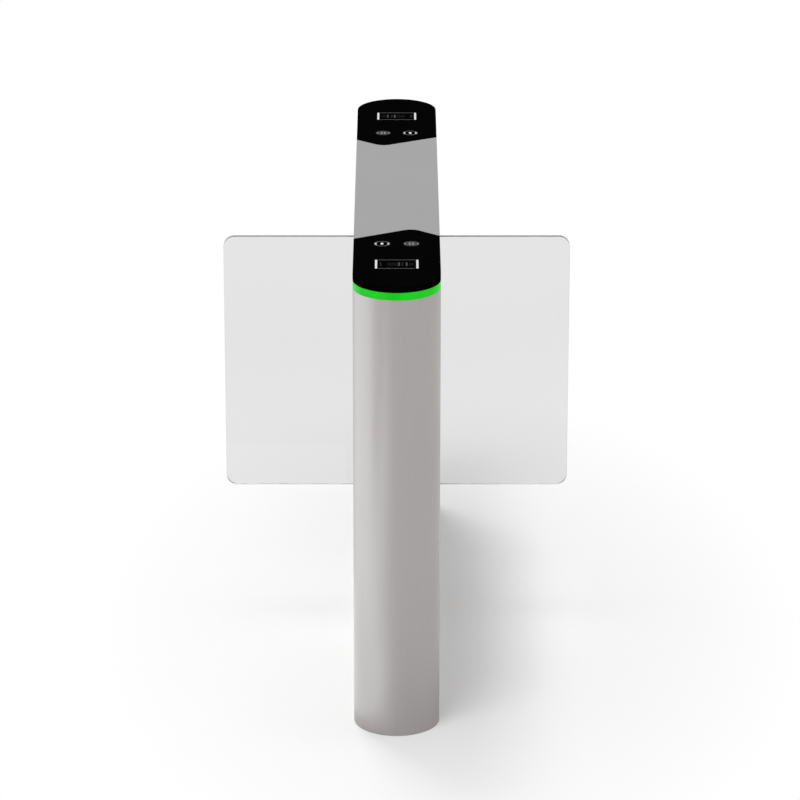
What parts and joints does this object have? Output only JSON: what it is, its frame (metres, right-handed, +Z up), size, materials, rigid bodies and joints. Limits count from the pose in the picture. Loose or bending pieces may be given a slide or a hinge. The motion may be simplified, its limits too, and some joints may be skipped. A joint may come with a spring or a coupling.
{
  "type": "glass swing barrier",
  "caption": "Slim round-ended pedestal with clear glass wings that swing both ways on hinge posts, a light band under black glass caps, readers and locked service doors.",
  "frame": {"origin": "centre of the pedestal's footprint, on the floor", "axes": "+Y along the pedestal from the near end to the far end, +X to the right across the lanes, +Z up"},
  "size_m": [0.756, 1.4, 0.99],
  "materials": {
    "satin_steel": "satin brushed",
    "grey_panel": "matte",
    "zinc_steel": "zinc plated",
    "bright_steel": "bright turned",
    "light_alloy": "machined",
    "black_metal": "satin black",
    "black_plastic": "moulded black",
    "black_glass": "back painted black, polished",
    "clear_glass": "polished",
    "green_light": "lit green, translucent",
    "white_light": "lit white, translucent",
    "white_board": "white board with small lamps",
    "sensor_plastic": "dark, passes infrared",
    "circuit_board": "green board",
    "bush_brass": "turned",
    "black_rubber": "matte black"
  },
  "bodies": {
    "pedestal": {"base_plate": "zinc_steel", "near_column": "satin_steel", "far_column": "satin_steel", "inner_walls": "satin_steel", "column_rings": "satin_steel", "left_side_panel": "satin_steel", "right_side_panel": "satin_steel", "deck_plate": "satin_steel", "drive_frame": "zinc_steel", "spine_frame": "zinc_steel", "left_spine_panel": "satin_steel", "right_spine_panel": "satin_steel", "beam_tray": "satin_steel", "top_cover": "grey_panel", "near_cap_frame": "black_plastic", "far_cap_frame": "black_plastic", "near_cap_glass": "black_glass", "far_cap_glass": "black_glass", "near_light_strip": "green_light", "far_light_strip": "green_light", "led_boards": "white_board", "near_scanner": "black_plastic", "far_scanner": "black_plastic", "card_readers": "circuit_board", "near_inlays": "white_light", "far_inlays": "white_light", "near_sensors": "sensor_plastic", "far_sensors": "sensor_plastic", "hinge_brackets": "zinc_steel", "panel_screws": "bright_steel", "control_board": "circuit_board", "power_supply": "light_alloy", "left_motor": "black_metal", "right_motor": "black_metal", "left_gearbox": "light_alloy", "right_gearbox": "light_alloy", "left_brake": "black_metal", "right_brake": "black_metal", "left_top_bush": "bush_brass", "right_top_bush": "bush_brass", "left_bottom_bush": "bush_brass", "right_bottom_bush": "bush_brass"},
    "left_wing": {"left_post": "bright_steel", "left_glass": "clear_glass", "left_gasket": "black_rubber", "left_clamp_bar": "light_alloy", "left_clamp_screws": "black_metal", "left_coupling": "light_alloy"},
    "right_wing": {"right_post": "bright_steel", "right_glass": "clear_glass", "right_gasket": "black_rubber", "right_clamp_bar": "light_alloy", "right_clamp_screws": "black_metal", "right_coupling": "light_alloy"},
    "near_door": {"near_door": "satin_steel", "near_door_pins": "bright_steel"},
    "far_door": {"far_door": "satin_steel", "far_door_pins": "bright_steel"},
    "near_lock": {"near_lock": "bright_steel"},
    "far_lock": {"far_lock": "bright_steel"}
  },
  "joints": [
    {"name": "left_wing_swing", "type": "hinge", "parent": "pedestal", "child": "left_wing", "pos_m": [-0.06, 0, 0.25], "axis": [0, 0, 1], "range_deg": [-90, 90]},
    {"name": "right_wing_swing", "type": "hinge", "parent": "pedestal", "child": "right_wing", "pos_m": [0.06, 0, 0.25], "axis": [0, 0, 1], "range_deg": [-90, 90]},
    {"name": "near_door_hinge", "type": "hinge", "parent": "pedestal", "child": "near_door", "pos_m": [0.0845, -0.581, 0.49], "axis": [0, 0, -1], "range_deg": [0, 100]},
    {"name": "far_door_hinge", "type": "hinge", "parent": "pedestal", "child": "far_door", "pos_m": [-0.0845, 0.581, 0.49], "axis": [0, 0, -1], "range_deg": [0, 100]},
    {"name": "near_lock_turn", "type": "hinge", "parent": "near_door", "child": "near_lock", "pos_m": [0.08, -0.402, 0.49], "axis": [1, 0, 0], "range_deg": [0, 90]},
    {"name": "far_lock_turn", "type": "hinge", "parent": "far_door", "child": "far_lock", "pos_m": [-0.08, 0.402, 0.49], "axis": [-1, 0, 0], "range_deg": [0, 90]}
  ]
}
